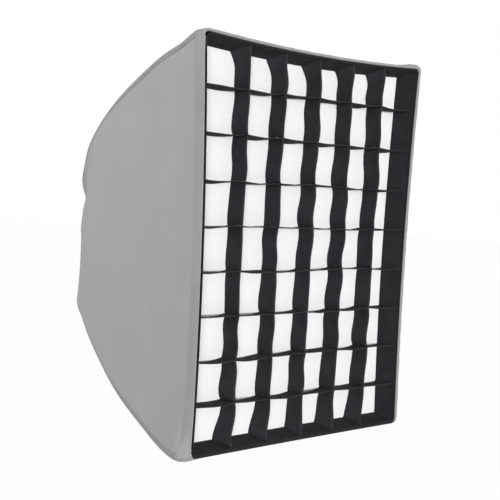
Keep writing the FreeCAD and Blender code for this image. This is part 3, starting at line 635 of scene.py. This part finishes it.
def binding(number):
    """Bound seam along a corner line: a band of both panels' own surface, a little outside.

    It is moved along the surface's normal by a low rounded profile, and ends under the hem.
    """
    edge_rise, rise, under_hem = mm(0.1, 0.7, 3)
    before = (number - 1) % 4
    halves = [np.linalg.norm(ridge_line(k) - ridge_line((k + 1) % 4), axis=1)[:, None] / 2
              for k in (before, number)]
    place = BINDING_SHARE * RIDGE[:, None] * np.linspace(1, 0, 12)[None, :]
    one = panel_points(before, 1 - place / halves[0])
    other = panel_points(number, place[:, ::-1] / halves[1] - 1)
    band = np.concatenate([one, other[:, 1:]], axis=1)[BEHIND > HEM_DEPTHS[1] - under_hem]
    normal = np.cross(np.gradient(band, axis=0), np.gradient(band, axis=1))
    normal /= np.linalg.norm(normal, axis=2, keepdims=True)
    across, up = CORNERS[number]
    normal *= np.sign((normal @ np.array([across, 0, up])).mean())
    profile = edge_rise + rise * np.sin(np.linspace(0, math.pi, band.shape[1])) ** 0.4
    # The binding's darker cloth is painted shade along the corner line.
    piece = grid_piece(f"corner_seam_{number + 1}", band + normal * profile[None, :, None],
                       [binding_painted_shade], INSIDE)
    settle(thicken(piece, 0.6 * MM), "softbox", "hem_cloth")


for corner_number in range(4):
    binding(corner_number)


# ------------ front rim

def hem_band():
    """Rolled hem: a superellipse section as thick as the hem of each side, carried round.

    The faces that look to the front take a darker copy of its nylon: painted shade.
    """
    front_facing = -0.7
    rows = []
    acrosses, alongs = rounded_section(5, 32)
    for across, along in zip(acrosses, alongs):
        insets = {side: across * (HEM_THICK[side] + HEM_OVERLAP) - HEM_OVERLAP * 0.2
                  for side in SIDES}
        rows.append((insets, between(HEM_DEPTHS, along)))
    piece = grid_piece("front_hem", rim_band(rows, 1 - acrosses), [hem_nylon, hem_front_painted_shade],
                       wrap=(True, True))
    # Faces that look to the front take the darker nylon: painted shade at the rolled edge.
    for face in piece.data.polygons:
        face.material_index = int(face.normal[1] < front_facing)
    return piece


def tape_band(name, insides, material):
    """A tape round the inside of the hem, between two places inside it."""
    rows = [({side: HEM_THICK[side] + between(insides, across) for side in SIDES},
             between(TAPE_DEPTHS, along)) for across, along in zip(*rounded_section(8))]
    return grid_piece(name, rim_band(rows), [material], wrap=(True, True))


hem = hem_band()
settle(hem, "softbox", "hem_cloth", *[f"front_hem_{side}" for side in SIDES])
loops = tape_band("loop_tape", LOOP_TAPE, loop_tape)
settle(loops, "softbox", "tape", *[f"loop_tape_{side}" for side in SIDES])
hooks = tape_band("hook_tape", HOOK_TAPE, hook_tape)
settle(hooks, "grid", "tape", *[f"hook_tape_{side}" for side in SIDES])

grid_low, grid_high = hull("grid_border_")
GRID_FRONT = grid_low[1] - FRONT
GRID_DEPTH = grid_high[1] - grid_low[1]


def border_inset(side, share, extra=0.0):
    """Inset of the border cloth at a share of its depth, or of a place inside it."""
    return HEM_THICK[side] + BORDER_INSET + extra + BORDER_LEAN[side] * share


def grid_border():
    """Border cloth of the grid: leans inwards, and laps over the hem along the bottom.

    The lap fades over the first tenth of its depth, where the rows lie closer together.
    """
    lap_edge, lap_rise = mm(0.3, 2.6)
    share = np.linspace(0, 1, 22) ** 1.6
    rows = []
    for part, lap in zip(share, np.clip(1 - share / 0.1, 0, 1) ** 2):
        insets = {side: border_inset(side, part) for side in SIDES}
        insets["bottom"] -= (BORDER_INSET + HEM_THICK["bottom"] - lap_edge) * lap
        rows.append((insets, GRID_FRONT + GRID_DEPTH * part - lap_rise * lap))
    border = grid_piece("grid_border", rim_band(rows), [border_nylon], (0, FRONT, 0),
                        (False, True))
    thicken(border, STRIP_THICKNESS)
    return settle(border, "grid", "grid_cloth", *[f"grid_border_{side}" for side in SIDES])


border_cloth = grid_border()


# ------------ egg-crate grid

def strip_places(start, axis):
    """Middle of each strip of one kind, from the frame."""
    names = sorted(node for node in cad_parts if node.startswith(start))
    return names, np.array([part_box(node) for node in names])[:, :, axis].mean(axis=1)


upright_names, upright_places = strip_places("grid_upright_", 0)
level_names, level_places = strip_places("grid_level_", 2)
chance = np.random.default_rng(7)


def drawn(low, high, count=None):
    """Random lengths between two limits in millimetres."""
    return chance.uniform(low, high, count) * MM


cross_x = drawn(-2.3, 2.3, (len(upright_places), len(level_places)))
cross_z = drawn(-2.0, 2.0, (len(upright_places), len(level_places)))


def stations(stops, inner):
    """Places along a strip between stops, with both edges of each slot."""
    places = [np.linspace(a, b, CELL_POINTS, endpoint=False) for a, b in zip(stops, stops[1:])]
    every = np.concatenate([*places, [stops[-1]], inner - HALF_SLOT, inner + HALF_SLOT])
    near = np.abs(every[:, None] - inner)
    clear = np.isclose(near, HALF_SLOT, rtol=0.01) | (near >= HALF_SLOT * 2)
    return np.unique(np.round(every[clear.all(axis=1)], 7))


def cell_wave(place, stops, shifts, bulges, lean, ripple):
    """Sideways shift along a strip: straight between the crossings, plus a bulge in each cell.

    lean moves the top of the bulge towards one end of its cell, ripple adds a second wave.
    """
    cell = np.clip(np.searchsorted(stops, place, side="right") - 1, 0, len(stops) - 2)
    share = np.clip((place - stops[cell]) / (stops[cell + 1] - stops[cell]), 0, 1)
    return (np.interp(place, stops, shifts) + bulges[cell] * np.sin(math.pi * share ** lean)
            + ripple[cell] * np.sin(math.tau * share))


def strip_ends(sides, place, share):
    """Low and high end of a strip between two sides' border cloths, at a share of the depth."""
    half = HALF_HEIGHT if sides[0] == "left" else HALF_WIDTH
    low, high = [side_reach(side, side_share(side, place / half),
                            border_inset(side, share, STRIP_THICKNESS / 2)) for side in sides]
    return [-low, high]


def course(sides, place, across, moved, sideways):
    """Where a strip meets those across it, its stops, its shift at each, and its columns.

    moved and sideways say how far each crossing lies off, along this strip and beside it.
    """
    order = np.argsort(across)
    crossings = (across + moved)[order]
    low, high = strip_ends(sides, place, 0)
    stops = np.concatenate([[low], crossings, [high]])
    shifts = np.concatenate([[0], sideways[order], [0]])
    return crossings, stops, shifts, stations(stops, crossings)


depth_share = np.linspace(0, 1, 9)


def cut_strip(node, rows, along, crossings, slot_in_front, away):
    """A strip with its slots left open, from rows of (x, z) through its depth."""
    points = np.stack([np.insert(row, 1, FRONT + GRID_FRONT + GRID_DEPTH * share, axis=1)
                       for share, row in zip(depth_share, rows)])
    middles = (along[:-1] + along[1:]) / 2
    in_slot = np.any(np.abs(middles[:, None] - crossings) < HALF_SLOT, axis=1)
    half = (depth_share[:-1] + depth_share[1:]) / 2
    open_half = half < 0.5 if slot_in_front else half > 0.5
    keep = ~(open_half[:, None] & in_slot[None, :])
    # The strips' cloth is lighter than the border's: painted light for the shade in the cells.
    strip = grid_piece(node.removeprefix("grid_"), points, [strip_nylon_painted_light], away, keep=keep)
    settle(thicken(strip, STRIP_THICKNESS, offset=0), "grid", "grid_cloth", node)


def upright_strip(number):
    """Upright strip: pulled out of line between crossings, flared where it meets the top.

    Its front edge leans one way, and its back edge the other way at the top and the bottom.
    """
    flare, flare_length, foot_length, front_lean = mm(15, 34, 80, 2.4)
    place, sides = upright_places[number], ("bottom", "top")
    crossings, stops, shifts, along = course(sides, place, level_places, cross_z[number],
                                             cross_x[number])
    cells = len(stops) - 1
    bulges = drawn(-3.2, 2.0, cells), drawn(-5.0, 0.5, cells)
    ripple = drawn(-3.0, 3.0, cells)
    foot = drawn(8.0, 14.0)
    rows = []
    for share in depth_share:
        low, high = strip_ends(sides, place, share)
        z = np.clip(along, low, high)
        x = place + cell_wave(along, stops, shifts, between(bulges, share), 0.45, ripple)
        x = x + front_lean * max(0.5 - share, 0)
        x = x - share * (flare * np.clip(1 - (high - z) / flare_length, 0, 1) ** 2
                         + foot * np.clip(1 - (z - low) / foot_length, 0, 1) ** 1.5)
        rows.append(np.stack([x, z], axis=1))
    cut_strip(upright_names[number], rows, along, crossings, True, (-3, FRONT, 0))


def level_strip(number):
    """Level strip: hangs a little between crossings, and its back edge hangs further."""
    place, sides = level_places[number], ("left", "right")
    crossings, stops, shifts, along = course(sides, place, upright_places, cross_x[:, number],
                                             cross_z[:, number])
    cells = len(stops) - 1
    sags = drawn(-3.5, -0.3, cells), drawn(-7.5, -1.5, cells)
    ripple = drawn(-0.8, 0.8, cells)
    twist = drawn(-0.5, 0.3, cells + 1)
    rows = []
    for share in depth_share:
        x = np.clip(along, *strip_ends(sides, place, share))
        z = place + cell_wave(along, stops, shifts + twist * (share - 0.5),
                              between(sags, share), 1.0, ripple)
        rows.append(np.stack([x, z], axis=1))
    cut_strip(level_names[number], rows, along, crossings, False, (0, FRONT, -3))


for strip_number in range(len(upright_names)):
    upright_strip(strip_number)
for strip_number in range(len(level_names)):
    level_strip(strip_number)


# ------------ diffusers

def stretched_cloth(name, edges, y, billow, material, count=(73, 97)):
    """A flat cloth stretched between four edge curves: straight blends across and up.

    edges gives the left and right x at a height, and the low and high z at a place across,
    each as a function of -1 to 1. billow is how far its middle stands out to the front, with
    a faint ripple on it.
    """
    u = edge_spacing(count[0])[None, :]
    v = edge_spacing(count[1])[:, None]
    left, right, low, high = edges
    x = left(v) + (right(v) - left(v)) * (1 + u) / 2
    z = low(u) + (high(u) - low(u)) * (1 + v) / 2
    ripple = 0.4 * MM * np.sin(23 * u + 9 * v) * np.sin(17 * v - 5 * u)
    depth = y - (billow + ripple) * (1 - u ** 2) * (1 - v ** 2)
    cloth = grid_piece(name, np.stack([x, depth, z], axis=-1), [material], (0, 0, 0))
    return thicken(cloth, 0.7 * MM)


def inside_rim(side):
    """Edge of the front diffuser on one side: just inside the tapes, bowed as the rim is."""
    inside_hem, smallest = mm(3.7, 10)
    inset = max(HEM_THICK[side] + inside_hem, smallest)
    return lambda place: sum(SIDES[side]) * side_reach(side, side_share(side, place), inset)


def bowed(end, bow):
    """A straight edge at an end, whose middle lies a bow further along: a parabola."""
    return lambda place: end + bow * (1 - place ** 2)


front_cloth = stretched_cloth(
    "front_diffuser_cloth", [inside_rim(side) for side in ("left", "right", "bottom", "top")],
    hull("front_diffuser")[0][1], 0.0, white_nylon)
settle(front_cloth, "diffuser", "white_cloth", "front_diffuser")

baffle_low, baffle_high = hull("inner_baffle")
BAFFLE_MIDDLE = (baffle_low[2] + baffle_high[2]) / 2
BAFFLE_BOW = 9 * MM
baffle_cloth = stretched_cloth(
    "baffle_cloth", [bowed(end[axis], bow) for axis in (0, 2)
                     for end, bow in ((baffle_low, BAFFLE_BOW), (baffle_high, -BAFFLE_BOW))],
    baffle_low[1], 1.5 * MM, white_nylon, (41, 51))
settle(baffle_cloth, "softbox", "white_cloth", "inner_baffle")


def baffle_strap(number):
    """Elastic strap: a flat section along a line from the baffle to a rod, folded back at both
    ends, and narrower in the middle where it is stretched.
    """
    low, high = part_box("baffle_straps")
    width, lap, gap, half_thick = mm(15, 30, 1.3, 0.5)
    corner = np.array([baffle_high[0], baffle_high[2] - BAFFLE_MIDDLE])
    reach = np.array([high[0], (high[2] - low[2]) / 2])
    tip = reach
    for _ in range(8):
        lay = (tip - corner) / np.linalg.norm(tip - corner)
        tip = reach - width / 2 * lay[::-1]
    inner = corner - lay * lap
    length = np.linalg.norm(tip - inner)
    back = high[1] - half_thick
    folded = np.linspace(0, math.pi, 9)
    fold, far_fold, straight, near_end, far_end = mm(1, 0.8, 4, 16, 20)
    # Places along the strap and heights over it: end, fold, length, fold and end.
    parts = [(np.linspace(near_end, 2 * fold, 6), gap),
             (fold - fold * np.sin(folded), gap / 2 + gap / 2 * np.cos(folded)),
             (np.linspace(straight, length - straight, 30), 0),
             (length - fold + far_fold * np.sin(folded), gap / 2 - gap / 2 * np.cos(folded)),
             (np.linspace(length - 3 * fold, length - far_end, 8), gap)]
    along = np.concatenate([part for part, _ in parts])
    rise = np.concatenate([height + 0 * part for part, height in parts])
    across, up = CORNERS[number]
    spot = inner + along[:, None] * lay
    path = np.stack([across * spot[:, 0], back + rise, BAFFLE_MIDDLE + up * spot[:, 1]], axis=1)
    ahead = np.gradient(path, axis=0)
    side = np.array([-up * lay[1], 0, across * lay[0]])
    out = np.cross(side, ahead)
    out /= np.linalg.norm(out, axis=1, keepdims=True)
    neck = 1 - 0.12 * np.sin(math.pi * np.clip(along / length, 0, 1)) ** 2
    thick, wide = superellipse(0.3, 20)
    thick, wide = thick * half_thick, wide * width / 2
    ring = (path[:, None] + out[:, None] * thick[None, :, None]
            + side[None, None] * wide[None, :, None] * neck[:, None, None])
    strap = grid_piece(f"baffle_strap_{number + 1}", capped(ring), [white_elastic],
                       wrap=(False, True))
    settle(strap, "softbox", "elastic", "baffle_straps")


for corner_number in range(4):
    baffle_strap(corner_number)


# ------------ pouches and cuff

def corner_pouch(node):
    """Pouch of doubled webbing: a blunt cup turned round the end of its rod, open to the rear.

    Its section is a superellipse whose radius swells behind the closed end and has a thick
    rim, and its axis is worked out from the box round its solid.
    """
    low, high = (np.array(corner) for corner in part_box(node))
    middle, extent = (low + high) / 2, high - low
    radius, length = 6.5 * MM, extent[1]
    clear_end, clear_side = mm(1, 0.3)
    towards = np.sign(middle)
    lean = (extent - 2 * radius) / length
    axis = np.array([-towards[0] * lean[0], 1, -towards[2] * lean[2]])
    axis /= np.linalg.norm(axis)
    level = np.array([1, -axis[0] / axis[1], 0]) / math.hypot(1, axis[0] / axis[1])
    upright = np.cross(level, axis)
    # Radius and place along the cup, as shares: out along its outside, and back inside it.
    profile = np.array([
        (0, 0), (0.35, 0.0), (0.7, 0.012), (0.84, 0.05), (0.87, 0.12), (0.88, 0.25), (0.86, 0.45),
        (0.86, 0.7), (0.86, 0.86), (0.88, 0.9), (0.89, 0.95), (0.88, 0.99), (0.85, 1.0),
        (0.8, 0.985), (0.77, 0.93), (0.76, 0.6), (0.75, 0.25), (0.6, 0.19), (0, 0.185)])
    flat, high_part = superellipse(0.8, 28)
    ring = flat[:, None] * level + high_part[:, None] * upright
    along = (profile[:, 1] - 0.5) * (length - clear_end)
    points = (middle + along[:, None, None] * axis
              + profile[:, 0][:, None, None] * (radius - clear_side) * ring[None])
    pouch = grid_piece(node + "_webbing", points, [pouch_webbing], wrap=(False, True))
    settle(pouch, "softbox", "pouch_cloth", node)


for pouch_node in sorted(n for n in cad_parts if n.startswith("corner_pouch_")):
    corner_pouch(pouch_node)


def rounded_square(half, radius):
    """Loop of (x, z): a square with its corners turned round quarter circles."""
    arc_points, run_points = 65, 25
    middles = [np.array(corner) * (half - radius) for corner in CORNERS]
    loop = []
    for number, middle in enumerate(middles):
        turn = (math.pi / 2) * (number + np.linspace(0, 1, arc_points))
        loop.append(middle + radius * np.stack([np.cos(turn), np.sin(turn)], axis=1))
        start = loop[-1][-1]
        end = middles[(number + 1) % 4] + radius * np.array([math.cos(turn[-1]),
                                                             math.sin(turn[-1])])
        share = np.linspace(0, 1, run_points)[1:-1, None]
        loop.append(start + (end - start) * share)
    return np.concatenate(loop)


def cuff():
    """Gathered cuff: rounded squares whose radius grows until they are circles.

    Its gathers are waves round the axis that deepen towards the elastic band at its end,
    which stands out as a low bell.
    """
    inset, drawn_in, ring_front, ring_rear, corner = mm(0.3, 1.6, 78.7, 78.3, 7)
    hood_end, ring_start, band_place, band_width = mm(-28, -25, -23, 2.2)
    gather_height, band_height, gathers = *mm(1.2, 0.8), 46
    # Where the corners turn round and where the gathers deepen, and over what length.
    turning, gathering = mm(-40.5, 13), mm(-43, 14)
    full = REAR_HALF - inset
    rows = []
    for y in np.linspace(MOUTH - 1 * MM, CUFF_REAR - 1 * MM, 50):
        half = np.interp(y, [MOUTH, hood_end, ring_start, CUFF_REAR],
                         [full, full - drawn_in, ring_front, ring_rear])
        loop = rounded_square(half, corner + (0.96 * half - corner) * smooth_step(
            y, *turning))
        angle = np.arctan2(loop[:, 1], loop[:, 0])
        gather = gather_height * smooth_step(y, *gathering) * np.sin(
            gathers * angle + 1.4 * np.sin(5 * angle) + 0.8 * np.sin(9 * angle))
        band = band_height * bell((y - band_place) / band_width)
        loop = loop * (1 + (gather + band) / np.linalg.norm(loop, axis=1))[:, None]
        rows.append(np.insert(loop, 1, y, axis=1))
    rim = rows[-1] * [0.985, 1, 0.985] + [0, 0.9 * MM, 0]
    sleeve = grid_piece("gathered_cuff", np.stack([*rows, rim]), [cuff_elastic, silver_lining],
                        (0, -0.03, 0), (False, True))
    settle(thicken(sleeve, 0.6 * MM, lined=True), "softbox", "cuff_cloth", "rear_cuff")


cuff()


# ------------ finishes of hard nodes

FINISHES = {
    "speedring": cast_aluminium, "bayonet_insert": turned_aluminium,
    "rod_socket_": plated_steel, "socket_lock_screws": plated_steel,
    "thumb_screw_shank_": plated_steel, "thumb_screw_knob_": moulded_abs,
    "rod_tips": moulded_rubber, "rod_upper_": spring_steel, "rod_lower_": spring_steel,
    "baffle_studs": nickel,
}
for start_of_name, finish in FINISHES.items():
    for node_name, node_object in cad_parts.items():
        if node_name.startswith(start_of_name):
            node_object.data.materials.clear()
            node_object.data.materials.append(finish)


# ------------ stage, light and camera

def seen_white(add):
    """1 for rays that the camera sees directly, in gloss or through glass."""
    path = add("LightPath")
    seen = add("Math", operation="MAXIMUM", _0=(path, "Is Camera Ray"),
               _1=(path, "Is Transmission Ray"))
    return add("Math", operation="MAXIMUM", _0=seen, _1=(path, "Is Glossy Ray"))


# Strength of the soft light from all round.
AMBIENT = 0.4
WHITE = (1, 1, 1, 1)


def studio():
    """White surroundings for the camera, and dimmer ones as soft light from all round."""
    scene = bpy.context.scene
    scene.view_settings.view_transform = "Standard"
    world = bpy.data.worlds.new("studio")
    scene.world = world
    add = empty_nodes(world)
    soft, bright = [add("Background", Color=WHITE, Strength=strength)
                    for strength in (AMBIENT, 1.0)]
    mixed = add("MixShader", _0=seen_white(add), _1=soft, _2=bright)
    add("OutputWorld", Surface=mixed)


def pale_floor():
    """A floor that the camera sees as white, with the object's shadow kept faintly."""
    edges, gap, whiteness = (-12.0, 12.0), 60 * MM, 0.97
    points = np.array([[(x, y, -HALF_HEIGHT - gap) for x in edges] for y in edges])
    material = bpy.data.materials.new("floor_paint")
    add = empty_nodes(material)
    paint = add("BsdfDiffuse", Color=to_linear("#F2F2F2"))
    glow = add("Emission", Color=WHITE, Strength=1.0)
    share = add("Math", operation="MULTIPLY", _0=seen_white(add), _1=whiteness)
    mixed = add("MixShader", _0=share, _1=paint, _2=glow)
    add("OutputMaterial", Surface=mixed)
    floor = grid_piece("floor", points, [material], (0, 0, -9))


def lamp(name, kind, energy, place, aim, size):
    """A sun or an area lamp that shines from a place towards another.

    size is the sun's angle in degrees, or the side of the area lamp in metres.
    """
    light = bpy.data.lights.new(name, kind)
    light.energy = energy
    if kind == "SUN":
        light.angle = math.radians(size)
    else:
        light.size = size
    turn = (Vector(aim) - Vector(place)).to_track_quat("-Z", "Y").to_matrix().to_4x4()
    new_object(name, light).matrix_world = Matrix.Translation(place) @ turn


def camera():
    """The camera, turned about Z, X and Y in that order from looking along +Y."""
    data = bpy.data.cameras.new("camera")
    data.lens = CAMERA_LENS
    data.sensor_width = 36.0
    data.shift_x, data.shift_y = CAMERA_SHIFT
    data.clip_end = 60.0
    holder = new_object("camera", data)
    turn = Matrix.Identity(4)
    for axis, angle in CAMERA_TURN.items():
        turn = turn @ Matrix.Rotation(angle, 4, axis)
    holder.matrix_world = (Matrix.Translation(CAMERA_PLACE) @ turn
                           @ Matrix.Rotation(math.pi / 2, 4, "X"))
    bpy.context.scene.camera = holder


camera()
studio()
pale_floor()
# Light along the axis for the front, and a broad lamp beside the left panel for the sides.
lamp("front_light", "SUN", energy=1.97, place=(0, -3, 0.14), aim=(0, 0, 0), size=3)
lamp("broad_light", "SUN", energy=0.8, place=(-2, -2.75, 0.2), aim=(0, -0.75, 0), size=10)
lamp("side_light", "AREA", energy=19, place=(-1.9, 0.2, 1.2), aim=(-0.28, -0.45, 0), size=1.2)
